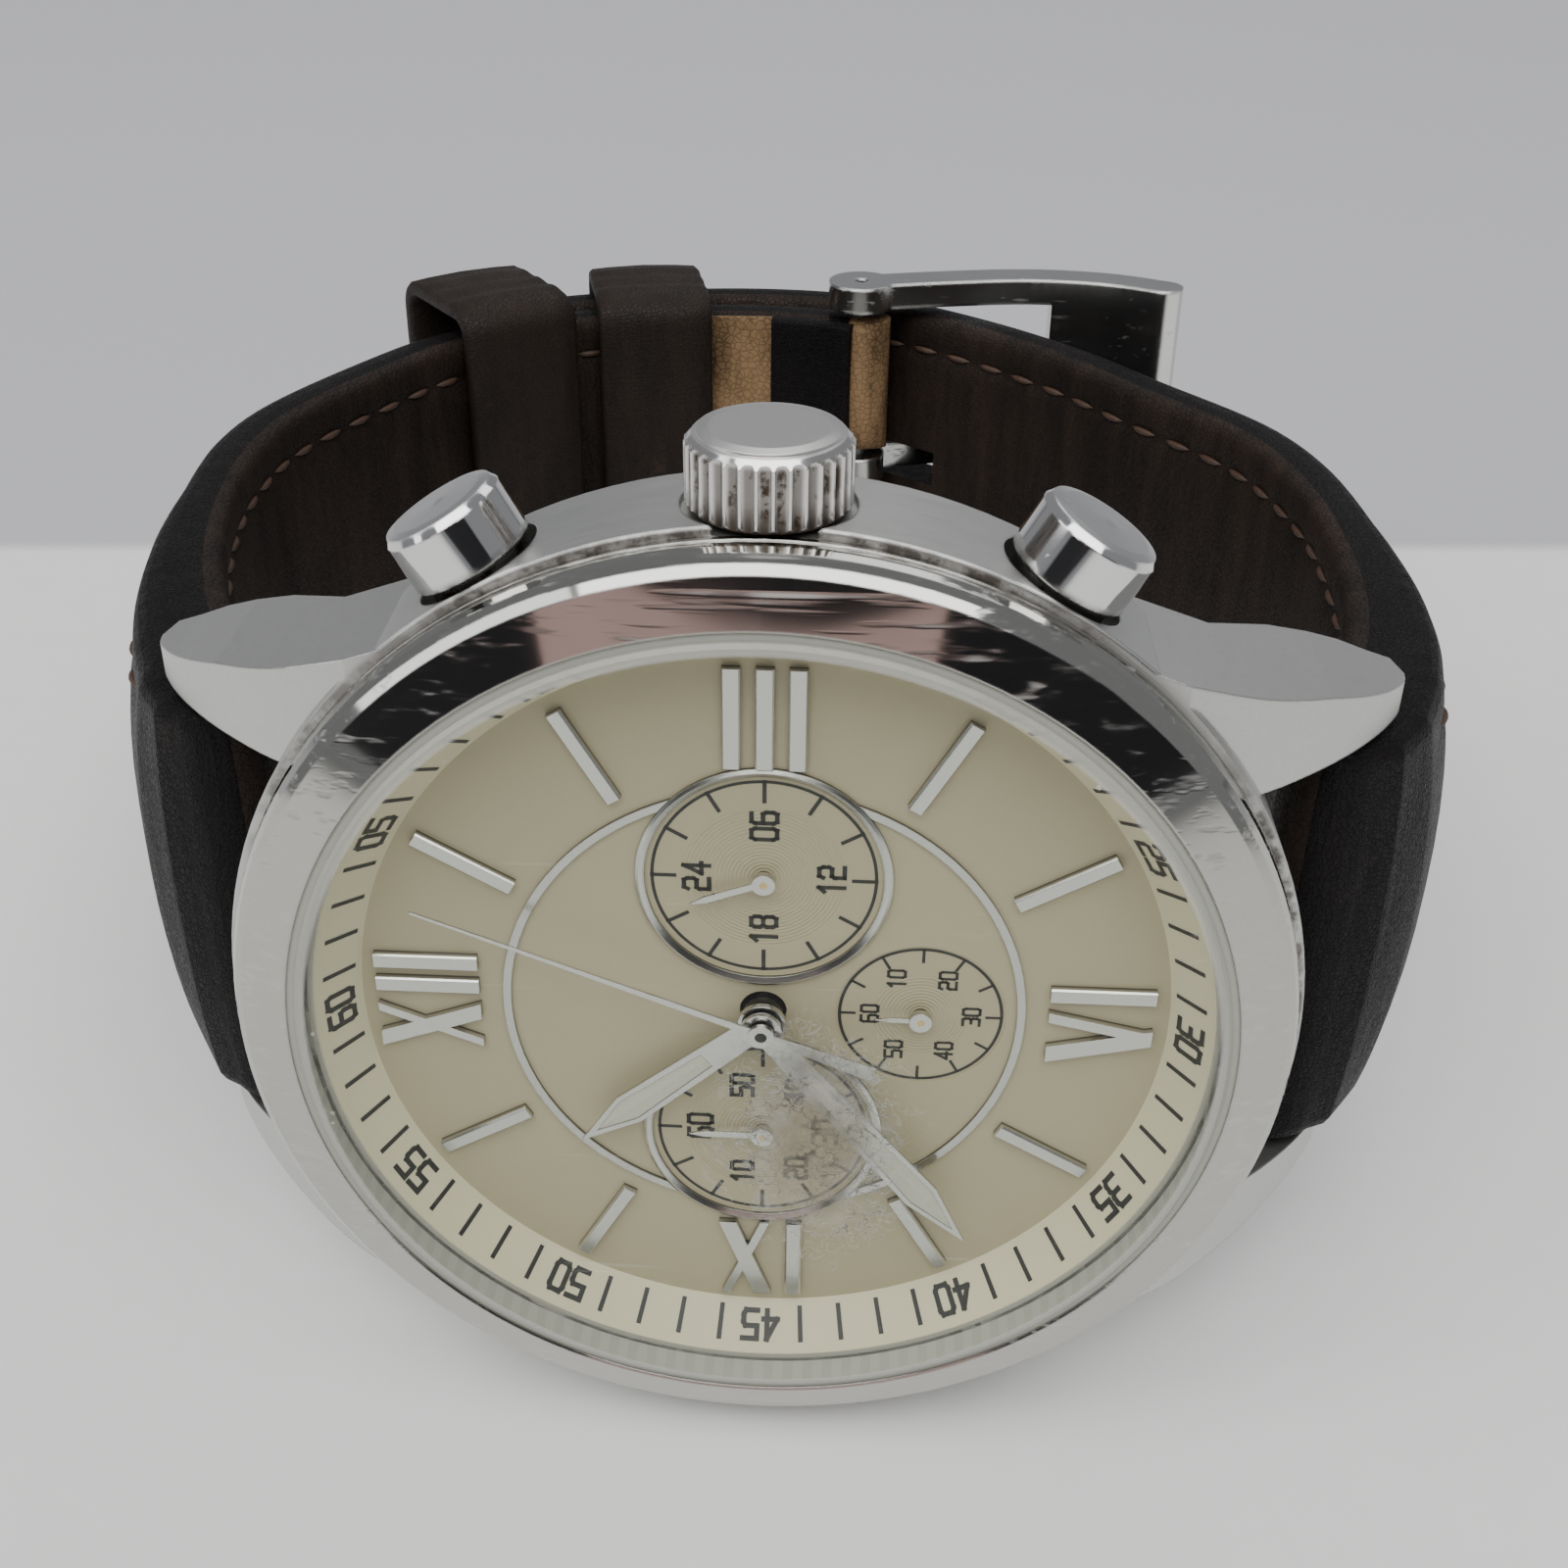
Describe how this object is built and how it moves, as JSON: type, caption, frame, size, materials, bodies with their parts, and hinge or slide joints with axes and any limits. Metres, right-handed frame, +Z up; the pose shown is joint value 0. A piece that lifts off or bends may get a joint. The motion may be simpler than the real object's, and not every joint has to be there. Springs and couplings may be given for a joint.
{
  "type": "chronograph wristwatch",
  "caption": "Round steel chronograph wristwatch with Roman dial, sub-dials, fluted crown, pushers and a buckled padded leather strap closed in a loop.",
  "frame": {"origin": "middle of the bounding box's footprint, on the ground", "axes": "+Z up towards three o'clock, -Y out of the dial, +X towards six o'clock; the watch stands on its nine o'clock side and leans back 8.65 degrees so that case and buckle share the ground"},
  "size_m": [0.0648, 0.078, 0.0478],
  "materials": {
    "brushed_case": "satin",
    "polished_bezel": "polished",
    "glass": "gloss",
    "seal": "matte",
    "minute_ring": "matte",
    "dial": "matte",
    "applied_steel": "polished",
    "hand_steel": "polished",
    "movement_plastic": "satin",
    "gilt": "satin",
    "bridge_steel": "satin",
    "coil_copper": "gloss",
    "board": "satin",
    "dark_steel": "satin",
    "crown_steel": "satin",
    "pusher_steel": "satin",
    "buckle_steel": "polished",
    "strap_leather": "satin",
    "lining_leather": "matte",
    "keeper_leather": "satin"
  },
  "bodies": {
    "case": {"mid_case": "brushed_case", "bezel": "polished_bezel", "glass": "glass", "glass_gasket": "seal", "minute_flange": "minute_ring", "dial": "dial", "hour_markers": "applied_steel", "dial_ring": "applied_steel", "counter_rims": "applied_steel", "movement_ring": "movement_plastic", "main_plate": "gilt", "train_bridge": "bridge_steel", "battery": "bridge_steel", "battery_clamp": "bridge_steel", "motor_coil": "coil_copper", "quartz_can": "bridge_steel", "circuit_board": "board", "case_back": "brushed_case", "back_gasket": "seal", "crown_tube": "dark_steel", "pusher_tubes": "dark_steel", "lug_spring_bars": "dark_steel", "spring_start": "dark_steel", "spring_reset": "dark_steel"},
    "hour_train": {"hour_hand": "hand_steel", "hour_wheel": "dark_steel"},
    "minute_train": {"minute_hand": "hand_steel", "cannon_pinion": "dark_steel"},
    "chrono_train": {"chrono_hand": "hand_steel", "chrono_arbor": "dark_steel"},
    "seconds_train": {"small_seconds_hand": "hand_steel", "small_seconds_wheel": "gilt"},
    "day_train": {"day_hand": "hand_steel", "day_wheel": "gilt"},
    "chrono_minutes_train": {"chrono_minutes_hand": "hand_steel", "chrono_minutes_wheel": "gilt"},
    "setting_slide": {"setting_lever": "bridge_steel"},
    "crown_group": {"crown": "crown_steel", "crown_gasket": "seal", "crown_stem": "dark_steel", "sliding_pinion": "gilt"},
    "start_button": {"pusher_start": "pusher_steel", "clip_start": "dark_steel"},
    "reset_button": {"pusher_reset": "pusher_steel", "clip_reset": "dark_steel"},
    "arm_12": {"strap_12_arm": "strap_leather", "lining_12_arm": "lining_leather"},
    "clasp": {"strap_12_end": "strap_leather", "lining_12_end": "lining_leather", "strap_6_tail": "strap_leather", "lining_6_tail": "lining_leather", "fixed_keeper": "keeper_leather", "buckle_bar": "dark_steel"},
    "arm_6": {"strap_6_arm": "strap_leather", "lining_6_arm": "lining_leather"},
    "loose_keeper": {"free_keeper": "keeper_leather"},
    "frame_of_buckle": {"buckle_frame": "buckle_steel"},
    "tongue_of_buckle": {"buckle_tongue": "buckle_steel"}
  },
  "joints": [
    {"name": "minute_turn", "type": "hinge", "parent": "case", "child": "minute_train", "pos_m": [0.00134, -0.0333, 0.02297], "axis": [0, 0.9886, -0.1504], "continuous": true},
    {"name": "hour_turn", "type": "hinge", "parent": "case", "child": "hour_train", "pos_m": [0.00134, -0.0333, 0.02297], "axis": [0, 0.9886, -0.1504], "continuous": true},
    {"name": "day_turn", "type": "hinge", "parent": "case", "child": "day_train", "pos_m": [0.00134, -0.03229, 0.0296], "axis": [0, 0.9886, -0.1504], "continuous": true},
    {"name": "small_seconds_turn", "type": "hinge", "parent": "case", "child": "seconds_train", "pos_m": [0.00799, -0.0333, 0.02297], "axis": [0, 0.9886, -0.1504], "continuous": true},
    {"name": "chrono_turn", "type": "hinge", "parent": "case", "child": "chrono_train", "pos_m": [0.00134, -0.0333, 0.02297], "axis": [0, 0.9886, -0.1504], "continuous": true},
    {"name": "chrono_minutes_turn", "type": "hinge", "parent": "case", "child": "chrono_minutes_train", "pos_m": [0.00134, -0.03431, 0.01635], "axis": [0, 0.9886, -0.1504], "continuous": true},
    {"name": "crown_pull", "type": "slide", "parent": "case", "child": "setting_slide", "axis": [0, 0.1504, 0.9886], "range_m": [0, 0.0015]},
    {"name": "crown_turn", "type": "hinge", "parent": "setting_slide", "child": "crown_group", "pos_m": [0.00134, -0.03058, 0.02256], "axis": [0, 0.1504, 0.9886], "continuous": true},
    {"name": "start_press", "type": "slide", "parent": "case", "child": "start_button", "axis": [0.5, -0.1302, -0.8562], "range_m": [0, 0.0011], "stiffness_N_per_m": 1500, "springref_m": -0.0004, "deforming": ["spring_start"]},
    {"name": "reset_press", "type": "slide", "parent": "case", "child": "reset_button", "axis": [-0.5, -0.1302, -0.8562], "range_m": [0, 0.0011], "stiffness_N_per_m": 1500, "springref_m": -0.0004, "deforming": ["spring_reset"]},
    {"name": "arm_12_flex", "type": "hinge", "parent": "case", "child": "arm_12", "pos_m": [-0.02286, -0.02549, 0.02178], "axis": [0, 0.1504, 0.9886], "range_deg": [-8, 8], "stiffness_Nm_per_rad": 0.06},
    {"name": "clasp_flex", "type": "hinge", "parent": "arm_12", "child": "clasp", "pos_m": [-0.02606, 0.01712, 0.0153], "axis": [0, 0.1504, 0.9886], "range_deg": [-8, 8]},
    {"name": "arm_6_flex", "type": "hinge", "parent": "clasp", "child": "arm_6", "pos_m": [0.02234, 0.01712, 0.0153], "axis": [0, 0.1504, 0.9886], "range_deg": [-8, 8]},
    {"name": "keeper_slide", "type": "hinge", "parent": "clasp", "child": "loose_keeper", "pos_m": [-0.00666, 0.00871, 0.01658], "axis": [0, 0.1504, 0.9886], "range_deg": [-3, 4]},
    {"name": "buckle_swing", "type": "hinge", "parent": "clasp", "child": "frame_of_buckle", "pos_m": [0.00434, 0.02957, 0.01341], "axis": [0, 0.1504, 0.9886], "range_deg": [-3, 6]},
    {"name": "tongue_swing", "type": "hinge", "parent": "frame_of_buckle", "child": "tongue_of_buckle", "pos_m": [0.00434, 0.02957, 0.01341], "axis": [0, 0.1504, 0.9886], "range_deg": [0, 15]}
  ],
  "couplings": [
    {"joint": "hour_turn", "follows": "minute_turn", "ratio": 0.083333},
    {"joint": "day_turn", "follows": "minute_turn", "ratio": 0.041667},
    {"joint": "chrono_minutes_turn", "follows": "chrono_turn", "ratio": 0.016667},
    {"joint": "clasp_flex", "follows": "arm_12_flex", "ratio": -1},
    {"joint": "arm_6_flex", "follows": "arm_12_flex", "ratio": 1}
  ]
}
